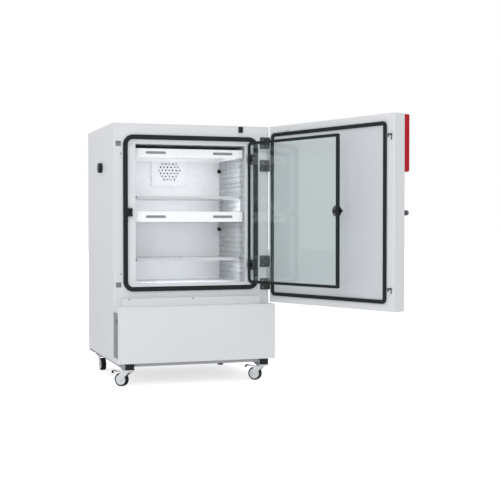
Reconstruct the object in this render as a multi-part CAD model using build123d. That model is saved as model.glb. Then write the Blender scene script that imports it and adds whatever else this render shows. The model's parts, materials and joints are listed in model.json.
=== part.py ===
from build123d import *
import math
import os

# Plant growth chamber on casters, in millimetres.
# Origin: on the floor, under the middle of the closed cabinet. +X right, +Y back, +Z up.
# Doors are drawn closed and then turned open about their hinge axes.

# Cabinet
width = 925.0
height = 1460.0
depth = 800.0
sheet = 1.5
fold_radius = 6.0
fold_return = 10.0
machine_height = 312.0

# Clearances: a soft contact, a shaft in its hole, a sliding side, and the overrun of a cutting body
hair = 0.3
running_gap = 0.05
side_gap = 0.5
cut = 10.0

# Screws
screw_radius = 4.0
screw_head = 1.5
frame_screw_inset = 43.0
frame_screw_end = 58.0
channel_screw_inset = 42.0

# Outer door
door_lift = 4.0
door_thickness = 80.0
door_gap = 22.0
door_edge_radius = 4.0
door_opening = 111.457
door_rim_side = 45.0
door_rim_end = 33.0
door_rim_hinge = 14.5
door_seal_width = 20.0
door_seal_clearance = 1.0
door_seal_radius = 26.0
door_seal_inset = 6.0
seal_crown = 3.0

# Chamber
chamber_left = 131.5
chamber_right = 143.5
chamber_above_deck = 121.5
chamber_below_top = 112.5
liner_setback = 78.0
duct_side = 25.0
duct_rear = 148.0
flange_recess = 14.0

# Ring gasket on the front frame
ring_side = 75.0
ring_top = 49.5
ring_bottom = 41.5
ring_width = 25.5
ring_proud = 12.0
ring_radius = 57.0

# Hinges of the outer door
hinge_edge = 5.0
hinge_out = 12.0
hinge_pin_radius = 4.0
hinge_knuckle_radius = 7.0
hinge_leaf = 49.0
hinge_leaf_thickness = 9.0
hinge_leaf_radius = 5.0
hinge_block_height = 65.0
hinge_top_drop = 160.0
hinge_bottom_rise = 171.5
hinge_arm_height = 66.0
hinge_arm_reach = 14.0
hinge_screw_inset = 14.0

# Lock of the outer door
hook_end = 114.0
hook_width = 7.0
hook_height = 18.0
hook_neck = 8.0
hook_nose = 3.4
hook_travel = 12.0
slot_left = 15.0
slot_width = 30.0
slot_room = 10.0
hook_play = 2.5
receiver_wall = 2.0
receiver_depth = 14.0
rod_thickness = 8.0
rod_depth = 34.0
rod_overrun = 16.0
rod_room = 6.0
spindle_radius = 6.0
cam_radius = 16.0
cam_thickness = 8.0
crank_pin_radius = 2.5
yoke_wall = 3.0
lock_plate_left = 28.0
lock_plate_width = 16.0
lock_plate_height = 56.0

# Door handle
handle_edge = 52.0
handle_thickness = 18.0
handle_width = 27.0
handle_short = 42.0
handle_long = 104.0
handle_gap = 30.0
handle_crown = 5.0
boss_radius = 22.0

# Controller housing on the outer door
controller_edge = 2.0
controller_width = 210.0
controller_height = 295.0
controller_top_gap = 2.0
controller_proud = 44.0
controller_radius = 10.0
controller_chamfer = 14.0
display_margin = 16.0
display_bottom_margin = 96.0
display_depth = 3.0

# Door sensor on the frame and its magnet on the door, from the hinge side
sensor_right = 161.0
sensor_width = 26.0
sensor_height = 34.0
sensor_top_gap = 4.0
sensor_proud = 6.0
magnet_width = 29.0
magnet_height = 29.0
magnet_top_gap = 3.0

# Glass door
glass_left_overlap = 19.5
glass_top_overlap = 20.5
glass_bottom_overlap = 4.5
glass_thickness = 6.0
glass_corner = 8.0
glass_opening = 112.0
glass_axis_out = 8.0
glass_swing_gap = 0.7
glass_wall_gap = 1.0
glass_seal_width = 16.0
glass_top_hinge = 77.5
glass_bottom_hinge = 100.0
glass_bracket_height = 58.0
glass_bracket_foot = 4.5
glass_knuckle_radius = 6.0
glass_knuckle_height = 24.0
glass_pin_radius = 2.5
glass_clamp_reach = 32.0
glass_clamp_thickness = 3.0
glass_clamp_edge = 3.0
knob_inset = 30.0
knob_rise = 9.0
knob_radius = 29.0
knob_thickness = 10.0
knob_chamfer = 1.5
knob_stand = 8.0
collar_radius = 9.0
collar_thickness = 2.7
tongue_height = 14.0
tongue_thickness = 4.0
tongue_end_gap = 3.0
keeper_width = 26.0
keeper_height = 45.0
keeper_gap = 2.0
keeper_front = 8.0
keeper_wall = 9.0

# Shelf runners and the air holes between them
runner_lift = 50.5
runner_pitch = 89.0
runner_width = 13.0
runner_thickness = 2.0
runner_rear_gap = 40.0
air_hole_width = 12.0
air_hole_height = 6.0
air_hole_pitch = 34.0
air_row_drop = 30.0
air_rows = 2

# Shelves and light cassettes, placed by counting the runners from below
shelf_sheet = 1.5
shelf_lip = 15.0
shelf_side_gap = 5.0
shelf_front = 46.0
shelf_rear_gap = 12.0
lower_shelf_level = 1
cassette_spacing = 4
middle_cassette_height = 58.0
upper_cassette_height = 46.0
cassette_front = 26.0
cassette_flange = 9.0
cassette_sheet = 1.5
cassette_bracket_width = 26.0
cassette_bracket_proud = 3.0
grip_length = 118.0
grip_height = 15.0
grip_corner = 5.0
grip_offset = 200.0
tube_radius = 8.0
tube_count = 5
tube_drop = 20.0
holder_thickness = 8.0
holder_end = 24.0
socket_size = 24.0
socket_depth = 12.0
socket_drop = 100.0
socket_rear_gap = 10.0
socket_collar_radius = 8.0
socket_collar = 5.0

# Chamber fan, cover and evaporator
fan_drop = 119.5
fan_cover_width = 227.0
fan_cover_height = 206.0
fan_cover_below = 100.0
fan_cover_depth = 9.0
fan_field_radius = 78.0
fan_hole_radius = 5.0
fan_hole_pitch = 22.0
impeller_radius = 72.0
impeller_depth = 26.0
impeller_hub = 24.0
impeller_blades = 7
impeller_gap = 14.0
blade_angle = 35.0
blade_sink = 6.0
intake_gap = 7.0
motor_radius = 34.0
motor_length = 38.0
motor_shaft = 4.0
motor_bracket = 12.0
evaporator_side = 65.0
evaporator_rise = 77.5
evaporator_below_fan = 258.0
evaporator_depth = 46.0
evaporator_plate = 6.0
fin_count = 24
fin_thickness = 2.0

# Access port
port_setback = 302.0
port_drop = 121.5
port_bore = 30.0
port_wall = 3.0
port_hole_gap = 20.0
plug_cap_radius = 29.0
plug_cap_thickness = 20.0
plug_chamfer = 3.0
plug_stem = 62.0

# Drip channel under the door
channel_left = 44.0
channel_right = 59.0
channel_out = 20.0
channel_screw_drop = 6.0

# Chassis
rail_inset = 43.0
rail_width = 50.0
rail_height = 34.0
rail_front = 8.0
rail_wall = 3.0
beam_height = 19.0
beam_depth = 30.0
beam_setback = 12.0
cap_thickness = 6.0
spacer_inset = 25.0
spacer_width = 17.5
spacer_length = 100.0
spacer_height = 21.0
spacer_lift = 10.0
tray_sheet = 2.0
tray_front = 6.0

# Switch fascia
fascia_front = 2.0
fascia_width = 90.0
fascia_margin = 30.5
fascia_thickness = 2.0
switch_inset = 13.0
switch_drop = 48.0
switch_width = 14.0
switch_height = 26.0
switch_pivot = 3.0
switch_crown = 3.0

# Condensing unit, electronics and rear vents
compressor_radius = 78.0
compressor_height = 176.0
compressor_setback = 186.0
compressor_seam = 3.0
compressor_plate = 3.0
compressor_foot_radius = 10.0
compressor_foot = 14.0
compressor_pipe_radius = 6.0
compressor_pipe = 30.0
condenser_side_gap = 10.0
condenser_height = 230.0
condenser_depth = 60.0
electronics_left = 168.0
electronics_height = 220.0
electronics_depth = 300.0
inlet_inset = 47.0
inlet_width = 52.0
inlet_height = 26.0
inlet_wall = 4.0
inlet_top_gap = 8.0
contact_gap = 9.0
contact_thickness = 3.0
contact_height = 6.0
vent_count = 9
vent_pitch = 20.0
vent_height = 8.0
vent_side = 30.0
vent_rise = 54.0

# Casters
wheel_radius = 37.5
wheel_width = 30.0
wheel_gap = 5.7
tyre_thickness = 9.0
tyre_chamfer = 3.0
hub_recess = 3.0
hub_boss = 10.0
axle_radius = 4.0
nut_radius = 6.5
nut_thickness = 3.0
caster_trail = 40.0
caster_plate_length = 90.0
caster_plate_width = 62.0
caster_plate_thickness = 4.0
caster_bolt_inset = 10.0
caster_bolt_head = 2.5
fork_sheet = 3.0
fork_side_gap = 1.5
fork_crown = 10.0
fork_shoulder = 41.0
fork_eye = 10.0
crown_radius = 28.0
crown_chamfer = 3.0
kingpin_radius = 6.0
kingpin_tail = 6.0
front_caster_setback = 60.0
rear_caster_inset = 50.0
pedal_reach = 93.0
pedal_pivot = 35.0
pedal_width = 26.0
pedal_thickness = 3.0
pedal_drop = 15.0
pedal_radius = 6.0
pedal_pin_radius = 4.0
pedal_pad = 14.0
pedal_pad_height = 3.0
caster_turns = (("front_left", 139.0), ("front_right", 139.0), ("rear_left", 270.0), ("rear_right", 240.0))

# Places worked out from the sizes above
left = -width / 2
right = width / 2
front = -depth / 2
back = depth / 2
body_front = front + door_thickness + door_gap
door_back = front + door_thickness
caster_height = 2 * wheel_radius + wheel_gap + fork_crown + hair + caster_plate_thickness
rail_bottom = caster_height
rail_top = rail_bottom + rail_height
machine_bottom = rail_top
deck_height = machine_bottom + machine_height
door_bottom = deck_height + door_lift
chamber_x0 = left + chamber_left
chamber_x1 = right - chamber_right
chamber_mid = (chamber_x0 + chamber_x1) / 2
chamber_bottom = deck_height + chamber_above_deck
chamber_z1 = height - chamber_below_top
chamber_height = chamber_z1 - chamber_bottom
flange_y = body_front + flange_recess
liner_back = back - liner_setback
rear_panel_y = liner_back - duct_rear
ring_x0 = chamber_x0 - ring_side
ring_x1 = chamber_x1 + ring_side
ring_z0 = chamber_bottom - ring_bottom
ring_z1 = chamber_z1 + ring_top
tray_x0 = ring_x0 + ring_width
tray_x1 = ring_x1 - ring_width
tray_z0 = ring_z0 + ring_width
tray_z1 = ring_z1 - ring_width
tray_radius = ring_radius - ring_width
hinge_x = right - hinge_edge
hinge_y = body_front - hinge_out
hinge_levels = (height - hinge_top_drop, door_bottom + hinge_bottom_rise)
door_seal_proud = door_gap - ring_proud - door_seal_clearance
lock_height = (door_bottom + height) / 2
hook_levels = (height - hook_end, door_bottom + hook_end)
hook_left = left + slot_left + hook_play
hook_reach = door_gap + sheet + 2 * hair + hook_nose
slot_height = hook_height + slot_room
rod_back = door_back - sheet - rod_depth + rod_thickness
rod_front = rod_back - rod_thickness
cam_front = rod_front - side_gap - cam_thickness
handle_x = left + handle_edge
controller_x0 = left + controller_edge
controller_x1 = controller_x0 + controller_width
controller_top = height - controller_top_gap
controller_bottom = controller_top - controller_height
glass_x0 = chamber_x0 - glass_left_overlap
glass_x1 = tray_x1 - sheet - glass_wall_gap - glass_bracket_foot
glass_z0 = chamber_bottom - glass_bottom_overlap
glass_z1 = chamber_z1 + glass_top_overlap
glass_back = body_front + glass_thickness
glass_sweep = glass_axis_out + flange_recess - glass_swing_gap
glass_axis_inset = math.sqrt(glass_sweep**2 - (glass_axis_out + glass_thickness)**2)
glass_axis_x = glass_x1 - glass_axis_inset
glass_axis_y = body_front - glass_axis_out
glass_bracket_x1 = tray_x1 - sheet
glass_bracket_levels = (chamber_z1 - glass_top_hinge, chamber_bottom + glass_bottom_hinge)
glass_seal_depth = flange_recess - glass_thickness - hair
glass_hinge_corner = tray_radius - sheet - side_gap * 4
knob_x = glass_x0 + knob_inset
knob_height = (chamber_bottom + chamber_z1) / 2 + knob_rise
keeper_x1 = glass_x0 - keeper_gap - side_gap
keeper_x0 = glass_x0 - keeper_gap - keeper_width
tongue_beyond = keeper_gap + keeper_width - keeper_wall - tongue_end_gap
runner_first = chamber_bottom + runner_lift
runner_count = int((chamber_height - runner_lift - shelf_lip) / runner_pitch) + 1
upper_cassette_level = runner_count - 1
middle_cassette_level = upper_cassette_level - cassette_spacing
upper_shelf_level = middle_cassette_level + 1
fan_center_x = chamber_mid
fan_height = chamber_z1 - fan_drop
motor_front = rear_panel_y + sheet + impeller_gap + impeller_depth + impeller_gap / 2
port_y = body_front + port_setback
port_z = chamber_z1 - port_drop
port_radius = port_bore / 2 + port_wall
channel_x0 = left + channel_left
channel_x1 = right - channel_right
channel_top = door_bottom + door_rim_end + door_seal_inset - door_seal_clearance
tray_top = rail_top + tray_sheet
spacer_bottom = rail_bottom + spacer_lift
fascia_bottom = machine_bottom + fascia_margin
fascia_top = deck_height - fascia_margin
switch_y = front + switch_inset
switch_z = fascia_top - switch_drop
unit_x0 = left + rail_inset + rail_width
front_caster_y = body_front - front_caster_setback
rear_caster_y = back - rear_caster_inset
pedal_height = caster_height - pedal_drop


def block(x0, x1, y0, y1, z0, z1):
    """Box between two opposite corners."""
    place = Pos((x0 + x1) / 2, (y0 + y1) / 2, (z0 + z1) / 2)
    return place * Box(abs(x1 - x0), y1 - y0, z1 - z0)


def bar(axis, start, end, radius, u, v):
    """Round bar along one axis, at its two other coordinates."""
    middle = (start + end) / 2
    length = abs(end - start)
    if axis == "X":
        return Pos(middle, u, v) * Rot(0, 90, 0) * Cylinder(radius, length)
    if axis == "Y":
        return Pos(u, middle, v) * Rot(90, 0, 0) * Cylinder(radius, length)
    return Pos(u, v, middle) * Cylinder(radius, length)


def upright_face(x0, x1, z0, z1, y, radius=0.0):
    """Rectangle facing +Y, with rounded corners where a radius is given."""
    plane = Plane(origin=((x0 + x1) / 2, y, (z0 + z1) / 2), x_dir=(1, 0, 0), z_dir=(0, 1, 0))
    if radius > 0:
        return plane * RectangleRounded(x1 - x0, z1 - z0, radius)
    return plane * Rectangle(x1 - x0, z1 - z0)


def upright(x0, x1, z0, z1, y0, y1, radius=0.0):
    """Plate square to Y."""
    return extrude(upright_face(x0, x1, z0, z1, y0, radius), y1 - y0)


def side_plate(face, y0, y1):
    """Plate square to Y, from a face drawn in X and Z."""
    plane = Plane(origin=(0, y0, 0), x_dir=(1, 0, 0), z_dir=(0, -1, 0))
    return extrude(plane * face, y1 - y0, dir=(0, 1, 0))


def crowned(ring, radius):
    """Round the front edges of a seal that faces -Y."""
    return fillet(ring.edges().group_by(Axis.Y)[0], radius)


def frame_ring(x0, x1, z0, z1, y0, y1, band, radius):
    """Upright ring with rounded corners and an even band."""
    outer = upright(x0, x1, z0, z1, y0, y1, radius)
    hole_radius = max(radius - band, sheet)
    hole = upright(x0 + band, x1 - band, z0 + band, z1 - band, y0 - cut, y1 + cut, hole_radius)
    return outer - hole


def open_door(shape):
    """Turn a piece of the outer door from closed to open."""
    return shape.rotate(Axis((hinge_x, hinge_y, 0), (0, 0, 1)), door_opening)


def open_glass(shape):
    """Turn a piece of the glass door from closed to open."""
    return shape.rotate(Axis((glass_axis_x, glass_axis_y, 0), (0, 0, 1)), glass_opening)


def save(name, shape):
    """Write one node."""
    if isinstance(shape, list):
        shape = Compound(children=shape)
    export_step(shape, "parts/" + name + ".step")


def screw(x, z, y):
    """Flat round screw head on a front face."""
    return bar("Y", y - screw_head, y, screw_radius, x, z)


def outer_housing():
    """Folded sheet housing: sides, top, deck and the turned-in front edges."""
    upper = block(left, right, body_front, back, machine_bottom, height)
    lower = block(left, right, front, back, machine_bottom, deck_height)
    shell = upper + lower
    folds = shell.edges().filter_by(Axis.Z).filter_by_position(Axis.Y, front - sheet, body_front + sheet)
    shell = fillet(folds, fold_radius)
    y0 = body_front + sheet
    top_room = block(left + sheet, right - sheet, y0, back + cut, deck_height, height - sheet)
    y0 = front + sheet
    z1 = deck_height - sheet
    low_room = block(left + sheet, right - sheet, y0, back + cut, machine_bottom - cut, z1)
    for room in (top_room, low_room):
        corners = room.edges().filter_by(Axis.Z).group_by(Axis.Y)[0]
        shell -= fillet(corners, fold_radius - sheet)
    x0 = left + fold_return
    x1 = right - fold_return
    y1 = body_front + fold_radius
    shell -= block(x0, x1, body_front - cut, y1, deck_height, height - fold_return)
    y1 = front + fold_radius
    shell -= block(x0, x1, front - cut, y1, machine_bottom - cut, deck_height - fold_return)
    shell -= bar("X", left - cut, left + cut, port_radius + hair, port_y, port_z)
    z1 = height - sheet
    shell -= block(left + sheet, right - sheet, back - sheet, back + cut, machine_bottom - cut, z1)
    return shell - switch_hole(side_gap)


def front_frame():
    """Flat front sheet with the chamber opening and the two hook slots."""
    x0 = left + fold_return
    x1 = right - fold_return
    y1 = body_front + sheet
    frame = upright(x0, x1, deck_height, height - fold_return, body_front, y1)
    frame -= upright(tray_x0, tray_x1, tray_z0, tray_z1, body_front - cut, y1 + cut, tray_radius)
    for level in hook_levels:
        x2 = left + slot_left
        half = slot_height / 2
        frame -= block(x2, x2 + slot_width, body_front - cut, y1 + cut, level - half, level + half)
    return frame


def receiver_room(level, wall, y0, y1):
    """Room of one hook behind the frame, with or without its wall."""
    x0 = left + slot_left - wall
    x1 = left + slot_left + slot_width + wall
    z0 = level - slot_height / 2 - hook_travel - wall
    z1 = level + slot_height / 2 + wall
    return block(x0, x1, y0, y1, z0, z1)


def hook_receiver(level):
    """Cup behind the frame that a hook slides into."""
    y0 = body_front + sheet
    y1 = y0 + receiver_depth
    cup = receiver_room(level, receiver_wall, y0, y1)
    return cup - receiver_room(level, 0, y0 - cut, y1 - receiver_wall)


def chamber_liner():
    """Welded inner tank with its recessed front flange."""
    y_tray = flange_y + sheet
    tray = upright(tray_x0, tray_x1, tray_z0, tray_z1, body_front, y_tray, tray_radius)
    x0 = chamber_x0 - duct_side
    x1 = chamber_x1 + duct_side
    z0 = chamber_bottom - sheet
    z1 = chamber_z1 + sheet
    liner = tray + block(x0 - sheet, x1 + sheet, flange_y, liner_back + sheet, z0, z1)
    x2 = tray_x0 + sheet
    x3 = tray_x1 - sheet
    z2 = tray_z0 + sheet
    z3 = tray_z1 - sheet
    liner -= upright(x2, x3, z2, z3, body_front - cut, flange_y, tray_radius - sheet)
    liner -= block(chamber_x0, chamber_x1, flange_y - cut, y_tray + cut, chamber_bottom, chamber_z1)
    liner -= block(x0, x1, y_tray, liner_back, chamber_bottom, chamber_z1)
    return liner - bar("X", x0 - cut, x0 + cut, port_radius + hair, port_y, port_z)


def cabinet_insulation():
    """Foam between the housing and the tank."""
    y0 = body_front + sheet
    foam = block(left + sheet, right - sheet, y0, back - sheet, deck_height, height - sheet)
    corners = foam.edges().filter_by(Axis.Z).group_by(Axis.Y)[0]
    foam = fillet(corners, fold_radius)
    foam -= upright(tray_x0, tray_x1, tray_z0, tray_z1, y0 - cut, flange_y + sheet, tray_radius)
    x0 = chamber_x0 - duct_side - sheet
    x1 = chamber_x1 + duct_side + sheet
    foam -= block(x0, x1, y0, liner_back + sheet, chamber_bottom - sheet, chamber_z1 + sheet)
    for level in hook_levels:
        foam -= receiver_room(level, receiver_wall, y0 - cut, y0 + receiver_depth)
    return foam - bar("X", left - cut, x0 + cut, port_radius + hair, port_y, port_z)


def back_panel():
    """Flat rear sheet with louvre slots and the mains inlet cut-out."""
    x0 = left + sheet
    x1 = right - sheet
    panel = upright(x0, x1, machine_bottom, height - sheet, back - sheet, back)
    y0 = back - cut
    y1 = back + cut
    for index in range(vent_count):
        z = machine_bottom + vent_rise + index * vent_pitch
        x2 = unit_x0 + vent_side
        x3 = -condenser_side_gap - vent_side
        panel -= upright(x2, x3, z, z + vent_height, y0, y1, vent_height / 2 - hair)
    x2, x3, z0, z1 = inlet_span()
    return panel - block(x2, x3, y0, y1, z0, z1)


def inlet_span():
    """Sides of the mains inlet, in X and Z."""
    x1 = right - sheet - rail_inset - inlet_inset
    z1 = tray_top + electronics_height - inlet_top_gap
    return (x1 - inlet_width, x1, z1 - inlet_height, z1)


def electronics_box():
    """Closed control box with the recessed mains inlet at its back."""
    y1 = back - sheet
    x1 = right - sheet - rail_inset
    case = block(electronics_left, x1, y1 - electronics_depth, y1, tray_top, tray_top + electronics_height)
    case = fillet(case.edges().filter_by(Axis.Y), fold_radius)
    x2, x3, z2, z3 = inlet_span()
    w = inlet_wall
    case += block(x2, x3, y1, back + sheet, z2, z3)
    case -= block(x2 + w, x3 - w, y1 - cut, back + cut, z2 + w, z3 - w)
    middle = (x2 + x3) / 2
    z0 = (z2 + z3 - contact_height) / 2
    for index in (-1, 0, 1):
        x = middle + index * contact_gap - contact_thickness / 2
        y0 = y1 - cut
        case += block(x, x + contact_thickness, y0, back - sheet / 2, z0, z0 + contact_height)
    return case


def runner_heights():
    """Heights of the top of each runner's shelf plane."""
    return [runner_first + index * runner_pitch for index in range(runner_count)]


def air_holes(side):
    """Places of the air holes of one side panel, as Y and Z."""
    y0 = flange_y + duct_side
    count = int((rear_panel_y - duct_side - y0) / air_hole_pitch)
    places = []
    for top in runner_heights():
        for row in range(air_rows):
            z = top - (row + 1) * air_row_drop
            for index in range(count):
                y = y0 + (index + 0.5) * (rear_panel_y - duct_side - y0) / count
                near_port = side < 0 and math.hypot(y - port_y, z - port_z) < port_radius + port_hole_gap
                if z > chamber_bottom + air_hole_height and not near_port:
                    places.append((y, z))
    return places


def shelf_runner(side, z):
    """Folded runner that carries one edge of a shelf or cassette."""
    inner = chamber_x0 if side < 0 else chamber_x1
    edge = inner - side * runner_width
    lip = edge + side * runner_thickness
    top = z - shelf_sheet
    low = top - runner_thickness
    y0 = flange_y + sheet + shelf_front
    y1 = rear_panel_y - runner_rear_gap
    ledge = block(inner, edge, y0, y1, low, top)
    return ledge + block(lip, edge, y0, y1, low - runner_thickness, top)


def side_air_panel(side):
    """Perforated air panel with its shelf runners, on one side of the chamber."""
    y0 = flange_y + sheet
    y1 = rear_panel_y
    middle_y = (y0 + y1) / 2
    middle_z = (chamber_bottom + chamber_z1) / 2
    face = Rectangle(y1 - y0, chamber_height)
    hole = Rectangle(air_hole_width, air_hole_height)
    face -= [Pos(y - middle_y, z - middle_z) * hole for y, z in air_holes(side)]
    if side < 0:
        face -= Pos(port_y - middle_y, port_z - middle_z) * Circle(port_radius + hair)
    inner = chamber_x0 if side < 0 else chamber_x1
    plane = Plane(origin=(inner, middle_y, middle_z), x_dir=(0, 1, 0), z_dir=(1, 0, 0))
    panel = extrude(plane * face, sheet, dir=(side, 0, 0))
    for z in runner_heights():
        panel += shelf_runner(side, z)
    for y in (y0, y1 - sheet):
        panel += block(inner, inner + side * duct_side, y, y + sheet, chamber_bottom, chamber_z1)
    return panel


def rear_air_panel():
    """Rear wall of the chamber, with the fan's intake hole."""
    y0 = rear_panel_y
    panel = upright(chamber_x0, chamber_x1, chamber_bottom, chamber_z1, y0, y0 + sheet)
    return panel - bar("Y", y0 - cut, y0 + cut, impeller_radius + intake_gap, fan_center_x, fan_height)


def fan_cover():
    """Shallow lid with a round field of holes in a triangular pattern."""
    z0 = fan_height - fan_cover_below
    z1 = z0 + fan_cover_height
    x0 = fan_center_x - fan_cover_width / 2
    x1 = fan_center_x + fan_cover_width / 2
    y1 = rear_panel_y
    y0 = y1 - fan_cover_depth
    lid = upright(x0, x1, z0, z1, y0, y1, fold_radius)
    x0 += sheet
    x1 -= sheet
    lid -= upright(x0, x1, z0 + sheet, z1 - sheet, y0 + sheet, y1 + cut, fold_radius - sheet)
    row_pitch = fan_hole_pitch * math.sqrt(3) / 2
    reach = fan_field_radius - fan_hole_radius
    count = int(reach // row_pitch) + 1
    holes = []
    for row in range(-count, count + 1):
        for column in range(-count, count + 1):
            x = (column + (row % 2) / 2) * fan_hole_pitch
            z = row * row_pitch
            if math.hypot(x, z) <= reach:
                holes.append(Pos(x, z) * Circle(fan_hole_radius))
    plane = Plane(origin=(fan_center_x, y0 - cut, fan_height), x_dir=(1, 0, 0), z_dir=(0, 1, 0))
    return lid - extrude(plane * Sketch(children=holes), 2 * cut)


def chamber_fan_motor():
    """Motor, its shaft and the bracket that hangs it on the rear panel."""
    y0 = motor_front
    y1 = y0 + motor_length
    motor = bar("Y", y0, y1, motor_radius, fan_center_x, fan_height)
    shaft_y0 = y0 - impeller_gap - impeller_depth + cut / 2
    motor += bar("Y", shaft_y0, y0, motor_shaft, fan_center_x, fan_height)
    z0 = fan_height - motor_bracket / 2
    z1 = z0 + motor_bracket
    reach = impeller_radius + impeller_gap + motor_bracket / 2
    for side in (-1, 1):
        x1 = fan_center_x + side * reach
        x0 = x1 - side * motor_bracket
        motor += block(x0, x1, rear_panel_y + sheet, y1, z0, z1)
        motor += block(fan_center_x, x1, y1 - 2 * sheet, y1, z0, z1)
    return motor


def chamber_fan_impeller():
    """Axial impeller with twisted blades."""
    y0 = rear_panel_y + sheet + impeller_gap
    y1 = y0 + impeller_depth
    wheel = bar("Y", y0, y1, impeller_hub, fan_center_x, fan_height)
    length = impeller_radius - impeller_hub + blade_sink
    middle = impeller_radius - length / 2
    blade = Pos(middle, 0, 0) * Rot(blade_angle, 0, 0) * Box(length, impeller_depth, sheet)
    for index in range(impeller_blades):
        turned = Rot(0, 360 * index / impeller_blades, 0) * blade
        wheel += Pos(fan_center_x, (y0 + y1) / 2, fan_height) * turned
    return wheel - bar("Y", y0 - cut, y1 + cut, motor_shaft + running_gap, fan_center_x, fan_height)


def finned_core(x0, x1, y0, y1, z0, z1, open_depth):
    """Block with thin upright fins on its front side."""
    core = block(x0, x1, y0, y1, z0, z1)
    step = (x1 - x0 - fin_thickness) / fin_count
    for index in range(fin_count):
        x = x0 + fin_thickness + index * step
        core -= block(x, x + step - fin_thickness, y0 - cut, y0 + open_depth, z0 - cut, z1 + cut)
    return core


def evaporator():
    """Finned evaporator coil in the rear duct, between its two end plates."""
    x0 = chamber_x0 + evaporator_side
    x1 = chamber_x1 - evaporator_side
    y1 = liner_back - side_gap
    y0 = y1 - evaporator_depth
    z0 = chamber_bottom + evaporator_rise
    z1 = fan_height - evaporator_below_fan
    core = finned_core(x0, x1, y0, y1, z0, z1, evaporator_depth / 2)
    core += block(x0 - evaporator_plate, x0, y0, liner_back, z0, z1)
    return core + block(x1, x1 + evaporator_plate, y0, liner_back, z0, z1)


def level_height(level):
    """Top of what hangs on the runner of one level."""
    return runner_first + level * runner_pitch


def lamp_sockets():
    """Rear sockets that feed the light cassettes, on the right side panel."""
    sockets = []
    for level in (middle_cassette_level, upper_cassette_level):
        z = level_height(level) - socket_drop
        y1 = rear_panel_y - socket_rear_gap
        y0 = y1 - socket_size
        half = socket_size / 2
        x0 = chamber_x1 - socket_depth
        socket = block(x0, chamber_x1, y0, y1, z - half, z + half)
        socket += bar("X", x0 - socket_collar, x0, socket_collar_radius, (y0 + y1) / 2, z)
        sockets.append(socket)
    return sockets


def shelf(level):
    """Folded shelf with turned-down lips all round."""
    top = level_height(level)
    x0 = chamber_x0 + shelf_side_gap
    x1 = chamber_x1 - shelf_side_gap
    y0 = flange_y + shelf_front
    y1 = rear_panel_y - shelf_rear_gap
    board = block(x0, x1, y0, y1, top - shelf_sheet, top)
    x2 = x0 + runner_width
    x3 = x1 - runner_width
    s = shelf_sheet
    rim = block(x2, x3, y0, y1, top - shelf_lip, top)
    rim -= block(x2 + s, x3 - s, y0 + s, y1 - s, top - shelf_lip - cut, top - s)
    return board + rim


def cassette_span():
    """Sides of a light cassette's pan, in X and Y."""
    x0 = chamber_x0 + shelf_side_gap + cassette_flange
    x1 = chamber_x1 - shelf_side_gap - cassette_flange
    return (x0, x1, flange_y + cassette_front, rear_panel_y - shelf_rear_gap)


def light_cassette(level, tall):
    """Pan that hangs on the runners, with two grip slots in its front plate."""
    top = level_height(level)
    low = top - tall
    x0, x1, y0, y1 = cassette_span()
    s = cassette_sheet
    wide_x0 = x0 - cassette_flange
    wide_x1 = x1 + cassette_flange
    pan = block(x0, x1, y0, y1, low, top)
    pan -= block(x0 + s, x1 - s, y0 + s, y1 - s, low - cut, top - s)
    pan += block(wide_x0, wide_x1, flange_y + shelf_front, y1, top - s, top)
    pan += block(wide_x0, wide_x1, y0, y0 + s, low, top)
    pan += block(wide_x1 - cassette_bracket_width, wide_x1, y0 - cassette_bracket_proud, y0, low, top)
    z0 = top - tall / 2 - grip_height / 2
    for side in (-1, 1):
        x2 = chamber_mid + side * grip_offset - grip_length / 2
        x3 = x2 + grip_length
        pan -= upright(x2, x3, z0, z0 + grip_height, y0 - cut, y0 + s + cut, grip_corner)
    low = top - tube_drop - tube_radius * 2
    for x in (x0 + s, x1 - s - holder_thickness):
        pan += block(x, x + holder_thickness, y0 + holder_end, y1 - holder_end, low, top - s)
    return pan


def lamp_tubes(level):
    """Row of lamp tubes between the cassette's holders."""
    z = level_height(level) - tube_drop
    x0, x1, y0, y1 = cassette_span()
    x0 += cassette_sheet + holder_thickness
    x1 -= cassette_sheet + holder_thickness
    step = (y1 - y0) / tube_count
    places = [y0 + (index + 0.5) * step for index in range(tube_count)]
    return [bar("X", x0, x1, tube_radius, y, z) for y in places]


def door_pan():
    """Outer skin of the door, with its edges and the inner rim."""
    pan = block(left, right, front, door_back, door_bottom, height)
    pan = fillet(pan.edges().filter_by(Axis.Z), door_edge_radius)
    x0 = left + sheet
    x1 = right - sheet
    inner = block(x0, x1, front + sheet, door_back - sheet, door_bottom + sheet, height - sheet)
    pan -= fillet(inner.edges().filter_by(Axis.Z), door_edge_radius - sheet)
    pan -= upright(*inner_panel_span(), door_back - cut, door_back + cut)
    for level in hook_levels:
        pan -= hook_window(level)
    return pan - bar("Y", front - cut, front + cut, spindle_radius + running_gap, handle_x, lock_height)


def hook_window(level):
    """Window in the door's rim that a hook reaches through."""
    x0 = hook_left - side_gap
    x1 = hook_left + hook_width + side_gap
    z0 = level - hook_height / 2 - hook_travel - side_gap
    z1 = level + hook_height / 2 + side_gap
    return block(x0, x1, door_back - cut, door_back + cut, z0, z1)


def inner_panel_span():
    """Sides of the door's inner panel, in X and Z."""
    x0 = left + door_rim_side
    x1 = right - door_rim_hinge
    return (x0, x1, door_bottom + door_rim_end, height - door_rim_end)


def door_inner_panel():
    """Flat inner panel of the door."""
    return upright(*inner_panel_span(), door_back - sheet, door_back)


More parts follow.
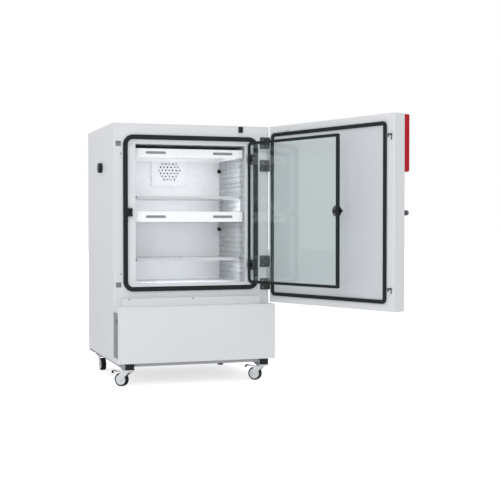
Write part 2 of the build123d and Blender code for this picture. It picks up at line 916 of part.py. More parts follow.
def door_insulation():
    """Foam fill of the door, with room for the lock rod and the crank."""
    y0 = front + sheet
    y1 = door_back - sheet
    foam = block(left + sheet, right - sheet, y0, y1, door_bottom + sheet, height - sheet)
    foam = fillet(foam.edges().filter_by(Axis.Z), door_edge_radius - sheet)
    x0 = hook_left - rod_room
    x1 = hook_left + hook_width + rod_room
    half = (hook_levels[0] - hook_levels[1]) / 2 + rod_overrun + hook_travel + side_gap
    z0 = lock_height - half
    foam -= block(x0, x1, rod_front - rod_room, y1 + cut, z0, lock_height + half)
    x1 = handle_x + cam_radius + rod_room
    half = 2 * cam_radius
    z0 = lock_height - half
    foam -= block(x0, x1, cam_front - rod_room, rod_back + rod_room, z0, lock_height + half)
    return foam - bar("Y", y0 - cut, cam_front, spindle_radius + side_gap, handle_x, lock_height)


def door_gasket():
    """Magnetic gasket round the door's inner face."""
    x0, x1, z0, z1 = inner_panel_span()
    i = door_seal_inset
    y1 = door_back + door_seal_proud
    radius = door_seal_radius
    ring = frame_ring(x0 + i, x1 - i, z0 + i, z1 - i, door_back, y1, door_seal_width, radius)
    return fillet(ring.edges().group_by(Axis.Y)[-1], seal_crown)


def display_span():
    """Sides of the display, in X and Z."""
    x0 = controller_x0 + display_margin
    x1 = controller_x1 - display_margin
    return (x0, x1, controller_bottom + display_bottom_margin, controller_top - display_margin)


def controller_housing():
    """Moulded controller housing on the door's outer face, cut off aslant below."""
    y0 = front - controller_proud
    z0 = controller_bottom
    c = controller_chamfer
    top = controller_top
    profile = Polygon((front, z0), (y0 + c, z0), (y0, z0 + c), (y0, top), (front, top), align=None)
    plane = Plane(origin=(controller_x0, 0, 0), x_dir=(0, 1, 0), z_dir=(1, 0, 0))
    case = extrude(plane * profile, controller_width, dir=(1, 0, 0))
    case = fillet(case.edges().filter_by(Axis.Z).group_by(Axis.Y)[0], controller_radius)
    return case - upright(*display_span(), y0 - cut, y0 + display_depth, door_edge_radius)


def controller_display():
    """Flat touch display set into the controller housing."""
    y0 = front - controller_proud
    return upright(*display_span(), y0, y0 + display_depth, door_edge_radius)


def door_hinge_arm(level):
    """Door arm with the barrel that turns on the hinge pin."""
    half = hinge_arm_height / 2 - side_gap
    z0 = level - half
    z1 = level + half
    arm = block(hinge_x - hinge_arm_reach, right, door_back, hinge_y, z0, z1)
    arm += bar("Z", z0, z1, hinge_knuckle_radius, hinge_x, hinge_y)
    return arm - bar("Z", z0 - cut, z1 + cut, hinge_pin_radius + running_gap, hinge_x, hinge_y)


def hinge_block(z0):
    """Black hinge block: a rounded leaf on the frame and a knuckle round the pin."""
    z1 = z0 + hinge_block_height
    x0 = hinge_x - hinge_leaf
    piece = block(x0, right - side_gap, body_front - hinge_leaf_thickness, body_front, z0, z1)
    corner = piece.edges().filter_by(Axis.Z).group_by(Axis.X)[0].sort_by(Axis.Y)[0]
    piece = fillet(corner, hinge_leaf_radius)
    piece += block(hinge_x - hinge_knuckle_radius, hinge_x, hinge_y, body_front - sheet, z0, z1)
    piece += bar("Z", z0, z1, hinge_knuckle_radius, hinge_x, hinge_y)
    return piece - bar("Z", z0 - cut, z1 + cut, hinge_pin_radius, hinge_x, hinge_y)


def hinge_block_bottoms():
    """Lower ends of the four hinge blocks, above and below each door arm."""
    bottoms = []
    for level in hinge_levels:
        half = hinge_arm_height / 2
        bottoms += [level + half, level - half - hinge_block_height]
    return bottoms


def glass_bracket(level):
    """Fixed glass hinge: a foot on the flange and two knuckles over and under the clamp."""
    half = glass_bracket_height / 2
    z0 = level - half
    z1 = level + half
    x1 = glass_bracket_x1
    x0 = x1 - glass_bracket_foot
    y0 = glass_axis_y - glass_knuckle_radius
    y1 = glass_axis_y + glass_knuckle_radius
    bracket = block(x0, x1, y0, flange_y, z0, z1)
    bracket += block(glass_axis_x, x1, y0, y1, z0, z1)
    bracket += bar("Z", z0, z1, glass_knuckle_radius, glass_axis_x, glass_axis_y)
    gap = glass_knuckle_height / 2 + side_gap
    x2 = glass_axis_x - glass_knuckle_radius - cut
    bracket -= block(x2, x0 - hair, y0 - cut, y1 + cut, level - gap, level + gap)
    return bracket - bar("Z", z0 - cut, z1 + cut, glass_pin_radius, glass_axis_x, glass_axis_y)


def pins_and_screws():
    """Hinge pins of both doors and the screws of the frame, hinge blocks and drip channel."""
    pieces = []
    for level in hinge_levels:
        half = hinge_arm_height / 2 + hinge_block_height
        pieces.append(bar("Z", level - half, level + half, hinge_pin_radius, hinge_x, hinge_y))
    for level in glass_bracket_levels:
        half = glass_bracket_height / 2
        pieces.append(bar("Z", level - half, level + half, glass_pin_radius, glass_axis_x, glass_axis_y))
    for z in (chamber_z1 - frame_screw_end, chamber_bottom + frame_screw_end):
        pieces.append(screw(left + frame_screw_inset, z, body_front))
    for z0 in hinge_block_bottoms():
        x = hinge_x - hinge_leaf + hinge_screw_inset
        for z in (z0 + hinge_screw_inset, z0 + hinge_block_height - hinge_screw_inset):
            pieces.append(screw(x, z, body_front - hinge_leaf_thickness))
    for x in (channel_x0 + channel_screw_inset, chamber_mid):
        pieces.append(screw(x, channel_top - channel_screw_drop, body_front - channel_out))
    return pieces


def pane_block(x0, x1, z0, z1, y0, y1, free_radius, hinge_radius):
    """Upright plate with one corner radius at its free side and one at its hinge side."""
    plate = block(x0, x1, y0, y1, z0, z1)
    plate = fillet(plate.edges().filter_by(Axis.Y).group_by(Axis.X)[0], free_radius)
    return fillet(plate.edges().filter_by(Axis.Y).group_by(Axis.X)[-1], hinge_radius)


def glass_pane():
    """Safety glass pane of the inner door."""
    y0 = body_front
    y1 = glass_back
    pane = pane_block(glass_x0, glass_x1, glass_z0, glass_z1, y0, y1, glass_corner, glass_hinge_corner)
    return pane - bar("Y", y0 - cut, y1 + cut, spindle_radius + running_gap, knob_x, knob_height)


def glass_gasket():
    """Gasket on the inner face of the glass door."""
    x0 = glass_x0
    x1 = glass_axis_x - 2 * side_gap
    z0 = glass_z0
    z1 = glass_z1
    y0 = glass_back
    y1 = y0 + glass_seal_depth
    band = glass_seal_width
    ring = pane_block(x0, x1, z0, z1, y0, y1, glass_corner, glass_hinge_corner)
    y0 -= cut
    y1 += cut
    hinge_radius = max(glass_hinge_corner - band, sheet)
    return ring - pane_block(x0 + band, x1 - band, z0 + band, z1 - band, y0, y1, sheet, hinge_radius)


def glass_hinge_clamp(level):
    """Clamp bonded to the glass, with the knuckle that turns on the pin."""
    half = glass_knuckle_height / 2
    z0 = level - half
    z1 = level + half
    x0 = glass_axis_x - glass_clamp_reach
    y0 = body_front - glass_clamp_thickness
    clamp = block(x0, glass_x1 - glass_clamp_edge, y0, body_front, z0, z1)
    clamp += bar("Z", z0, z1, glass_knuckle_radius, glass_axis_x, glass_axis_y)
    bore = glass_pin_radius + running_gap
    return clamp - bar("Z", z0 - cut, z1 + cut, bore, glass_axis_x, glass_axis_y)


def glass_knob():
    """Disc knob with its spindle, its inner collar and the tongue that enters the keeper."""
    z = knob_height
    y1 = body_front - knob_stand
    knob = bar("Y", y1 - knob_thickness, y1, knob_radius, knob_x, z)
    knob = chamfer(knob.edges().filter_by(GeomType.CIRCLE).group_by(Axis.Y)[0], knob_chamfer)
    collar_y1 = glass_back + hair + collar_thickness
    knob += bar("Y", y1, collar_y1, spindle_radius, knob_x, z)
    knob += bar("Y", glass_back + hair, collar_y1, collar_radius, knob_x, z)
    t1 = body_front - sheet
    t0 = t1 - tongue_thickness
    half = tongue_height / 2
    return knob + block(glass_x0 - tongue_beyond, knob_x, t0, t1, z - half, z + half)


def glass_door_keeper():
    """Black keeper on the flange, with a recess that is open at the front."""
    half = keeper_height / 2
    y0 = body_front - keeper_front
    keeper = block(keeper_x0, keeper_x1, y0, flange_y, knob_height - half, knob_height + half)
    half = tongue_height / 2 + sheet
    x0 = keeper_x0 + keeper_wall
    z0 = knob_height - half
    return keeper - block(x0, keeper_x1 + cut, y0 - cut, body_front + sheet, z0, knob_height + half)


def door_sensor():
    """Door sensor at the top of the front frame."""
    x1 = right - sensor_right
    z1 = height - sensor_top_gap
    return block(x1 - sensor_width, x1, body_front - sensor_proud, body_front, z1 - sensor_height, z1)


def door_catch_plates():
    """Magnet clip and lock plate on the door's inner face."""
    x0 = right - sensor_right
    z1 = height - magnet_top_gap
    y1 = door_back + sensor_proud
    magnet = block(x0, x0 + magnet_width, door_back, y1, z1 - magnet_height, z1)
    x0 = left + lock_plate_left
    half = lock_plate_height / 2
    y1 = door_back + sheet
    plate = block(x0, x0 + lock_plate_width, door_back, y1, lock_height - half, lock_height + half)
    return [magnet, plate]


def lock_yoke():
    """Slotted plate on the lock rod that the crank pin drives. The pin stands at 45 degrees at rest."""
    offset = hook_travel / 2
    crank = math.hypot(offset, offset)
    play = crank_pin_radius + side_gap
    z = lock_height + offset
    x0 = handle_x - crank - play
    x1 = handle_x - offset + play
    half = play + yoke_wall
    yoke = block(hook_left, x1 + yoke_wall, rod_front, rod_back, z - half, z + half)
    return yoke - block(x0, x1, rod_front - cut, rod_back + cut, z - play, z + play)


def door_lock_rod():
    """Flat rod in the door that carries the two lock hooks and the yoke."""
    x0 = hook_left
    x1 = x0 + hook_width
    half = (hook_levels[0] - hook_levels[1]) / 2 + rod_overrun
    rod = block(x0, x1, rod_front, rod_back, lock_height - half, lock_height + half)
    tip = door_back + hook_reach
    for level in hook_levels:
        top = level + hook_height / 2
        rod += block(x0, x1, rod_front, tip, top - hook_neck, top)
        rod += block(x0, x1, tip - hook_nose, tip, level - hook_height / 2, top)
    return rod + lock_yoke()


def door_handle():
    """Lever handle with its spindle, and the crank disc and pin that drive the lock rod."""
    y1 = front - handle_gap
    y0 = y1 - handle_thickness
    middle = handle_x + (handle_long - handle_short) / 2
    lever = SlotOverall(handle_long + handle_short, handle_width)
    grip = side_plate(Pos(middle, lock_height) * lever, y0, y1)
    grip = fillet(grip.edges().group_by(Axis.Y)[0], handle_crown)
    grip += bar("Y", y1, front - side_gap, boss_radius, handle_x, lock_height)
    grip += bar("Y", front - side_gap, cam_front, spindle_radius, handle_x, lock_height)
    grip += bar("Y", cam_front, rod_front - side_gap, cam_radius, handle_x, lock_height)
    offset = hook_travel / 2
    y0 = rod_front - side_gap
    return grip + bar("Y", y0, rod_back, crank_pin_radius, handle_x - offset, lock_height + offset)


def drip_channel():
    """Turned-up drip channel under the door."""
    y0 = body_front - channel_out
    strip = block(channel_x0, channel_x1, y0, body_front, deck_height, channel_top)
    y0 += sheet
    y1 = body_front - sheet
    z0 = deck_height + sheet
    return strip - block(channel_x0 - cut, channel_x1 + cut, y0, y1, z0, channel_top + cut)


def service_panel():
    """Plain front cover of the machine compartment."""
    x0 = left + fold_return
    x1 = right - fold_return
    return upright(x0, x1, machine_bottom, deck_height - fold_return, front, front + sheet)


def switch_hole(gap):
    """Hole for the rocker in the fascia and the housing."""
    half_y = switch_width / 2 + gap
    half_z = switch_height / 2 + gap
    y0 = switch_y - half_y
    return block(left - cut, left + cut, y0, switch_y + half_y, switch_z - half_z, switch_z + half_z)


def switch_fascia():
    """Grey fascia on the left side of the machine compartment."""
    y0 = front + fascia_front
    plate = block(left - fascia_thickness, left, y0, y0 + fascia_width, fascia_bottom, fascia_top)
    return plate - switch_hole(side_gap)


def main_switch():
    """Rocker of the main switch, with a round back on its pivot."""
    half = switch_width / 2 + side_gap - hair
    reach = switch_height / 2 - sheet
    x0 = left - fascia_thickness
    pivot = left + switch_pivot
    outline = Polygon(
        (x0 - switch_crown / 2, switch_z - reach),
        (x0 + hair, switch_z),
        (x0 - switch_crown, switch_z + reach),
        (pivot, switch_z + reach / 2),
        (pivot, switch_z - reach / 2),
        align=None,
    )
    rocker = side_plate(outline, switch_y - half, switch_y + half)
    return rocker + bar("Y", switch_y - half, switch_y + half, reach / 2, pivot, switch_z)


def chassis_frame():
    """Welded base: two rails, cross beams and the floor tray."""
    y0 = front + rail_front
    y1 = y0 + beam_setback
    inner = right - rail_inset - rail_wall
    frame = block(-inner, inner, y1, y1 + rail_wall, rail_top - beam_height, rail_top)
    wall = rail_wall
    for side in (-1, 1):
        x1 = side * (right - rail_inset)
        x0 = x1 - side * rail_width
        rail = block(x0, x1, y0, back, rail_bottom, rail_top)
        x0 += side * wall
        x1 -= side * wall
        frame += rail - block(x0, x1, y0 - cut, back + cut, rail_bottom + wall, rail_top - wall)
    x1 = right - spacer_inset
    y1 = back - beam_depth
    frame += block(-x1, x1, y1, y1 + wall, spacer_bottom - wall, rail_top)
    y0 = front + tray_front
    return frame + block(left + sheet, right - sheet, y0, back - sheet, rail_top, tray_top)


def chassis_caps():
    """Black rail end caps and the rear wall spacers."""
    caps = []
    y0 = front + rail_front
    for side in (-1, 1):
        x1 = side * (right - rail_inset)
        x0 = x1 - side * rail_width
        caps.append(block(x0, x1, y0 - cap_thickness, y0, rail_bottom, rail_top))
        x1 = side * (right - spacer_inset)
        x0 = x1 - side * spacer_width
        y1 = back - beam_depth + rail_wall
        z1 = spacer_bottom + spacer_height
        caps.append(block(x0, x1, y1, back + spacer_length, spacer_bottom, z1))
    return caps


def compressor():
    """Hermetic compressor with a domed shell, a weld seam, a base plate on feet and its pipe."""
    r = compressor_radius
    x = unit_x0 + 2 * r
    y = back - compressor_setback
    z0 = tray_top + compressor_foot
    z1 = z0 + compressor_height
    unit = bar("Z", z0, z1, r, x, y)
    unit = fillet(unit.edges().group_by(Axis.Z)[-1], r / 2)
    middle = (z0 + z1) / 2
    unit += bar("Z", middle - compressor_seam, middle + compressor_seam, r + compressor_seam, x, y)
    unit += block(x - r, x + r, y - r, y + r, z0 - compressor_plate, z0)
    inset = r - compressor_foot_radius
    for side_x in (-inset, inset):
        for side_y in (-inset, inset):
            unit += bar("Z", tray_top, z0, compressor_foot_radius, x + side_x, y + side_y)
    pipe_z = z1 - r / 2
    return unit + bar("Z", pipe_z, z1 + compressor_pipe, compressor_pipe_radius, x + r / 2, y)


def condenser():
    """Finned condenser in front of the rear vents."""
    y1 = back - sheet
    y0 = y1 - condenser_depth
    z1 = tray_top + condenser_height
    return finned_core(unit_x0, -condenser_side_gap, y0, y1, tray_top, z1, condenser_depth / 2)


def port_sleeve():
    """Sleeve of the access port, from the housing to the side air panel."""
    sleeve = bar("X", left, chamber_x0, port_radius, port_y, port_z)
    sleeve += bar("X", left - sheet, left, plug_cap_radius - sheet, port_y, port_z)
    return sleeve - bar("X", left - cut, chamber_x0 + cut, port_bore / 2, port_y, port_z)


def port_plug():
    """Push-in plug of the access port."""
    x1 = left - sheet
    plug = bar("X", x1 - plug_cap_thickness, x1, plug_cap_radius, port_y, port_z)
    plug = chamfer(plug.edges().filter_by(GeomType.CIRCLE).group_by(Axis.X)[0], plug_chamfer)
    return plug + bar("X", x1, x1 + plug_stem, port_bore / 2 - running_gap, port_y, port_z)


def caster_places():
    """Name, place and turn of each caster."""
    places = []
    for name, turn in caster_turns:
        side = -1 if name.endswith("left") else 1
        x = side * (right - rail_inset - rail_width / 2)
        y = front_caster_y if name.startswith("front") else rear_caster_y
        places.append((name, x, y, turn))
    return places


def set_caster(shape, x, y, turn):
    """Turn a caster piece about its kingpin and put it under the rail."""
    return Pos(x, y, 0) * Rot(0, 0, turn) * shape


def caster_plate():
    """Top plate with its kingpin and four bolt heads."""
    half_x = caster_plate_width / 2
    half_y = caster_plate_length / 2
    z1 = caster_height
    z0 = z1 - caster_plate_thickness
    plate = block(-half_x, half_x, -half_y, half_y, z0, z1)
    plate = fillet(plate.edges().filter_by(Axis.Z), fold_radius)
    for x in (caster_bolt_inset - half_x, half_x - caster_bolt_inset):
        for y in (caster_bolt_inset - half_y, half_y - caster_bolt_inset):
            plate += bar("Z", z0 - caster_bolt_head, z0, screw_radius, x, y)
    return plate + bar("Z", z0 - fork_crown - kingpin_tail, z0, kingpin_radius, 0, 0)


def fork_cheek(y0):
    """Cheek of the fork, from the crown down to a rounded eye at the axle."""
    z1 = caster_height - caster_plate_thickness - hair
    outline = Polygon(
        (-crown_radius / 2, z1 - fork_crown),
        (-crown_radius / 2, z1),
        (fork_shoulder, z1 - fork_crown / 2),
        (caster_trail + fork_eye, wheel_radius),
        (caster_trail - fork_eye, wheel_radius),
        align=None,
    )
    return side_plate(outline + Pos(caster_trail, wheel_radius) * Circle(fork_eye), y0, y0 + fork_sheet)


def caster_fork():
    """Pressed fork that trails along +X: a crown, two cheeks and the axle with its nuts."""
    z1 = caster_height - caster_plate_thickness - hair
    z0 = z1 - fork_crown
    fork = bar("Z", z0, z1, crown_radius, 0, 0)
    fork = chamfer(fork.edges().filter_by(GeomType.CIRCLE).group_by(Axis.Z)[-1], crown_chamfer)
    inner = wheel_width / 2 + fork_side_gap
    outer = inner + fork_sheet
    fork += fork_cheek(-outer) + fork_cheek(inner)
    nut = Pos(caster_trail, wheel_radius) * RegularPolygon(nut_radius, 6)
    fork += side_plate(nut, -outer - nut_thickness, -outer) + side_plate(nut, outer, outer + nut_thickness)
    fork += bar("Y", -outer, outer, axle_radius, caster_trail, wheel_radius)
    return fork - bar("Z", z0 - kingpin_tail, z1 + cut, kingpin_radius + running_gap, 0, 0)


def caster_wheel():
    """Hub and tyre. The axle runs through the hub."""
    half = wheel_width / 2
    rim = wheel_radius - tyre_thickness
    hub = bar("Y", -half, half, rim, caster_trail, wheel_radius)
    for side in (-1, 1):
        start = side * (half - hub_recess)
        end = side * (half + cut)
        recess = bar("Y", start, end, rim - hub_recess, caster_trail, wheel_radius)
        hub -= recess - bar("Y", start - side, end + side, hub_boss, caster_trail, wheel_radius)
    hub -= bar("Y", -half - cut, half + cut, axle_radius + running_gap, caster_trail, wheel_radius)
    tyre = bar("Y", -half, half, wheel_radius, caster_trail, wheel_radius)
    tyre = chamfer(tyre.edges().filter_by(GeomType.CIRCLE), tyre_chamfer)
    tyre -= bar("Y", -half - cut, half + cut, rim, caster_trail, wheel_radius)
    return [hub, tyre]


def brake_pedal():
    """Brake pedal with a tread pad, on a pin between the fork's cheeks."""
    reach = wheel_width / 2 + fork_side_gap - side_gap
    half = pedal_width / 2
    z0 = pedal_height - pedal_thickness / 2
    z1 = z0 + pedal_thickness
    pedal = block(pedal_pivot, pedal_reach, -half, half, z0, z1)
    pedal += block(pedal_reach - pedal_pad, pedal_reach, -half, half, z0, z1 + pedal_pad_height)
    pedal = fillet(pedal.edges().filter_by(Axis.Z).group_by(Axis.X)[-1], pedal_radius)
    return pedal + bar("Y", -reach, reach, pedal_pin_radius, pedal_pivot, pedal_height)


def build_cabinet():
    """Fixed pieces of the cabinet."""
    save("outer_housing", outer_housing())
    save("back_panel", back_panel())
    save("cabinet_insulation", cabinet_insulation())
    save("front_frame", front_frame())
    save("chamber_liner", chamber_liner())
    y0 = body_front - ring_proud
    ring = frame_ring(ring_x0, ring_x1, ring_z0, ring_z1, y0, body_front, ring_width, ring_radius)
    save("chamber_gasket", crowned(ring, seal_crown))
    save("side_air_panels", [side_air_panel(-1), side_air_panel(1)])
    save("rear_air_panel", rear_air_panel())
    save("fan_cover", fan_cover())
    save("chamber_fan_motor", chamber_fan_motor())
    save("evaporator", evaporator())
    save("lamp_sockets", lamp_sockets())
    save("glass_door_keeper", glass_door_keeper())
    save("hook_receivers", [hook_receiver(level) for level in hook_levels])
    brackets = [glass_bracket(level) for level in glass_bracket_levels]
    save("hinge_blocks", [hinge_block(z) for z in hinge_block_bottoms()] + brackets)
    save("pins_and_screws", pins_and_screws())
    save("door_sensor", door_sensor())
    save("drip_channel", drip_channel())
    save("port_sleeve", port_sleeve())


def build_base():
    """Machine compartment, chassis and casters."""
    save("service_panel", service_panel())
    save("switch_fascia", switch_fascia())
    save("main_switch", main_switch())
    save("chassis_frame", chassis_frame())
    save("chassis_caps", chassis_caps())
    save("compressor", compressor())
    save("condenser", condenser())
    save("electronics_box", electronics_box())
    save("caster_plates", [set_caster(caster_plate(), x, y, 0) for name, x, y, turn in caster_places()])
    for name, x, y, turn in caster_places():
        save("caster_fork_" + name, set_caster(caster_fork(), x, y, turn))
        save("caster_wheel_" + name, [set_caster(piece, x, y, turn) for piece in caster_wheel()])
        if name.startswith("front"):
            save("brake_pedal_" + name, set_caster(brake_pedal(), x, y, turn))


def build_inside():
    """Pieces that move inside the chamber, and the port's plug."""
    save("chamber_fan_impeller", chamber_fan_impeller())
    save("port_plug", port_plug())
    save("lower_shelf", shelf(lower_shelf_level))
    save("upper_shelf", shelf(upper_shelf_level))
    save("middle_light_cassette", light_cassette(middle_cassette_level, middle_cassette_height))
    save("middle_lamp_tubes", lamp_tubes(middle_cassette_level))
    save("upper_light_cassette", light_cassette(upper_cassette_level, upper_cassette_height))
    save("upper_lamp_tubes", lamp_tubes(upper_cassette_level))


def build_doors():
    """Both doors, open as they stand."""
    save("door_pan", open_door(door_pan()))
    save("door_inner_panel", open_door(door_inner_panel()))
    save("door_insulation", open_door(door_insulation()))
    save("door_gasket", open_door(door_gasket()))
    save("controller_housing", open_door(controller_housing()))
    save("controller_display", open_door(controller_display()))
    save("door_hinge_arms", [open_door(door_hinge_arm(level)) for level in hinge_levels])
    save("door_catch_plates", [open_door(piece) for piece in door_catch_plates()])
    save("door_lock_rod", open_door(door_lock_rod()))
    save("door_handle", open_door(door_handle()))
    save("glass_pane", open_glass(glass_pane()))
    save("glass_gasket", open_glass(glass_gasket()))
    save("glass_hinge_clamps", [open_glass(glass_hinge_clamp(level)) for level in glass_bracket_levels])
    save("glass_knob", open_glass(glass_knob()))


os.makedirs("parts", exist_ok=True)
build_cabinet()
build_base()
build_inside()
build_doors()
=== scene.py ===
import json
import math

import bmesh
import bpy
from mathutils import Matrix, Vector


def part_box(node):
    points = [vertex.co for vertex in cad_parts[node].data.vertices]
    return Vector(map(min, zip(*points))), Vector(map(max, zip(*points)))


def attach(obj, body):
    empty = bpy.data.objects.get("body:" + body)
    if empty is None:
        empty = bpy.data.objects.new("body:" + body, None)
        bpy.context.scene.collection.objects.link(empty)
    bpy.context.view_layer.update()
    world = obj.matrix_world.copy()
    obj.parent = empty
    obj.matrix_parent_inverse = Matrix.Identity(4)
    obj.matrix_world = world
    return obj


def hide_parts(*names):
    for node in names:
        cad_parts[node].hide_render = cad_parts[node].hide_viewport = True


# Plant growth chamber: finishes, small details, floor, lights and camera.
# Metres, in the frame of the model.

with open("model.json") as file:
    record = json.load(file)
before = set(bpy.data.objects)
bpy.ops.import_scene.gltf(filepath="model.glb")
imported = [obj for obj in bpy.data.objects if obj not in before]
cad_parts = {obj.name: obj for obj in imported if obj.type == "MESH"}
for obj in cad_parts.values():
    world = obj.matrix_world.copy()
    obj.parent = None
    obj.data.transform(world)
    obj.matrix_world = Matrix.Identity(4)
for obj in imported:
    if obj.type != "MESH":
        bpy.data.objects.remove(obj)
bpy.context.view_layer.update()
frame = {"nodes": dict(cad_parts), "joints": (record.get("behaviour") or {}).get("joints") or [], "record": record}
nodes = frame["nodes"]

# Camera, fitted to the photograph
CAMERA_PLACE = Vector((-1.6809, -5.6871, 0.8821))
CAMERA_YAW = 0.2894
CAMERA_PITCH = -0.0233
CAMERA_ROLL = -0.0018
CAMERA_LENS = 71.5
CAMERA_SHIFT = 0.14


def make_camera():
    """Camera fitted to the photograph, with its framing."""
    data = bpy.data.cameras.new("view_camera")
    data.sensor_width = 36.0
    data.lens = CAMERA_LENS
    data.shift_x = CAMERA_SHIFT
    data.clip_start = 0.05
    data.clip_end = 100.0
    camera = bpy.data.objects.new("view_camera", data)
    bpy.context.scene.collection.objects.link(camera)
    level = math.cos(CAMERA_PITCH)
    across, along = math.sin(CAMERA_YAW) * level, math.cos(CAMERA_YAW) * level
    forward = Vector((across, along, math.sin(CAMERA_PITCH)))
    right = Vector((math.cos(CAMERA_YAW), -math.sin(CAMERA_YAW), 0.0))
    up = right.cross(forward)
    turned_right = right * math.cos(CAMERA_ROLL) + up * math.sin(CAMERA_ROLL)
    turned_up = up * math.cos(CAMERA_ROLL) - right * math.sin(CAMERA_ROLL)
    basis = Matrix((turned_right, turned_up, -forward)).transposed()
    camera.matrix_world = Matrix.Translation(CAMERA_PLACE) @ basis.to_4x4()
    bpy.context.scene.camera = camera


# Values between which the noise texture mostly stays
NOISE_LOW, NOISE_HIGH = 0.3, 0.7
# Pointiness at which wear begins and at which it is full, and how it lightens the colour
WEAR_START, WEAR_FULL = 0.52, 0.60
WEAR_GAIN, WEAR_LIFT = 1.25, 0.03
# Sockets of the colour mix, which share their names with those of other data types
MIX_FIRST, MIX_SECOND, MIX_RESULT = 6, 7, 2


class Finish:
    """A node material with one Principled shader."""

    def __init__(self, name, color, roughness, metallic=0.0):
        self.material = bpy.data.materials.new(name)
        self.material.use_nodes = True
        self.tree = self.material.node_tree
        self.tree.nodes.clear()
        self.output = self.add("ShaderNodeOutputMaterial")
        self.shader = self.add("ShaderNodeBsdfPrincipled")
        self.link(self.shader, "BSDF", self.output, "Surface")
        self.place = self.add("ShaderNodeTexCoord")
        self.set("Base Color", (*color, 1.0))
        self.set("Roughness", roughness)
        self.set("Metallic", metallic)

    def add(self, kind, **values):
        node = self.tree.nodes.new(kind)
        for key, value in values.items():
            setattr(node, key, value)
        return node

    def link(self, source, output, target, socket):
        self.tree.links.new(source.outputs[output], target.inputs[socket])

    def set(self, socket, value):
        self.shader.inputs[socket].default_value = value

    def noise(self, scale, detail=3.0, stretch=(1.0, 1.0, 1.0)):
        """Noise in the object's own coordinates."""
        mapping = self.add("ShaderNodeMapping")
        mapping.inputs["Scale"].default_value = stretch
        self.link(self.place, "Object", mapping, "Vector")
        texture = self.add("ShaderNodeTexNoise")
        texture.inputs["Scale"].default_value = scale
        texture.inputs["Detail"].default_value = detail
        self.link(mapping, "Vector", texture, "Vector")
        return texture

    def ramp(self, source, output, stops):
        """Colour ramp from a list of place and colour."""
        ramp = self.add("ShaderNodeValToRGB")
        while len(ramp.color_ramp.elements) < len(stops):
            ramp.color_ramp.elements.new(0.5)
        for element, (place, color) in zip(ramp.color_ramp.elements, stops):
            element.position = place
            element.color = (*color, 1.0)
        self.link(source, output, ramp, "Fac")
        return ramp

    def spread(self, source, output, low, high):
        """Map the noise onto a range."""
        node = self.add("ShaderNodeMapRange")
        node.inputs["From Min"].default_value = NOISE_LOW
        node.inputs["From Max"].default_value = NOISE_HIGH
        node.inputs["To Min"].default_value = low
        node.inputs["To Max"].default_value = high
        self.link(source, output, node, "Value")
        return node

    def color_variation(self, color, amount, scale, wear=0.0):
        """Slow change of tone, and a little lighter wear on sharp edges."""
        noise = self.noise(scale)
        dark = tuple(max(c * (1.0 - amount), 0.0) for c in color)
        light = tuple(min(c * (1.0 + amount), 1.0) for c in color)
        ramp = self.ramp(noise, "Fac", [(NOISE_LOW, dark), (NOISE_HIGH, light)])
        if wear > 0.0:
            geometry = self.add("ShaderNodeNewGeometry")
            stops = [(WEAR_START, (0.0,) * 3), (WEAR_FULL, (wear,) * 3)]
            edge = self.ramp(geometry, "Pointiness", stops)
            mix = self.add("ShaderNodeMix", data_type="RGBA")
            self.link(edge, "Color", mix, "Factor")
            self.link(ramp, "Color", mix, MIX_FIRST)
            worn = (min(c * WEAR_GAIN + WEAR_LIFT, 1.0) for c in color)
            mix.inputs[MIX_SECOND].default_value = (*worn, 1.0)
            self.link(mix, MIX_RESULT, self.shader, "Base Color")
            return
        self.link(ramp, "Color", self.shader, "Base Color")

    def roughness_variation(self, low, high, scale):
        spread = self.spread(self.noise(scale, 4.0), "Fac", low, high)
        self.link(spread, "Result", self.shader, "Roughness")

    def bump(self, texture, output, strength, distance, edge_radius):
        """Bump from a texture, over softened edges."""
        node = self.add("ShaderNodeBump")
        node.inputs["Strength"].default_value = strength
        node.inputs["Distance"].default_value = distance
        self.link(texture, output, node, "Height")
        soft = self.add("ShaderNodeBevel", samples=4)
        soft.inputs["Radius"].default_value = edge_radius
        self.link(soft, "Normal", node, "Normal")
        self.link(node, "Normal", self.shader, "Normal")


def powder_coat(name, color, roughness=0.42):
    """Fine-textured powder coat."""
    made = Finish(name, color, roughness)
    made.color_variation(color, 0.012, 3.0, wear=0.15)
    made.roughness_variation(roughness - 0.05, roughness + 0.06, 18.0)
    made.bump(made.noise(900.0, 2.0), "Fac", 0.10, 0.0004, 0.0012)
    made.set("Specular IOR Level", 0.45)
    return made.material


def stove_enamel(name, color, roughness=0.30):
    """Smoother enamel of the chamber's sheets."""
    made = Finish(name, color, roughness)
    made.color_variation(color, 0.010, 4.0)
    made.roughness_variation(roughness - 0.06, roughness + 0.08, 12.0)
    made.bump(made.noise(300.0, 2.0), "Fac", 0.05, 0.0004, 0.0008)
    return made.material


def moulded_plastic(name, color, roughness=0.45, grain=1400.0, gloss=0.3):
    """Moulded plastic with a fine grain."""
    made = Finish(name, color, roughness)
    made.set("Specular IOR Level", gloss)
    made.color_variation(color, 0.06, 40.0, wear=0.25)
    made.roughness_variation(roughness - 0.08, roughness + 0.08, 60.0)
    made.bump(made.noise(grain, 2.0), "Fac", 0.18, 0.0003, 0.0008)
    return made.material


def rubber(name, color, roughness=0.72):
    """Matte rubber or foam with a fine grain."""
    made = Finish(name, color, roughness)
    made.color_variation(color, 0.15, 60.0)
    made.roughness_variation(roughness - 0.08, roughness + 0.10, 90.0)
    made.bump(made.noise(500.0, 3.0), "Fac", 0.15, 0.0005, 0.001)
    made.set("Specular IOR Level", 0.22)
    return made.material


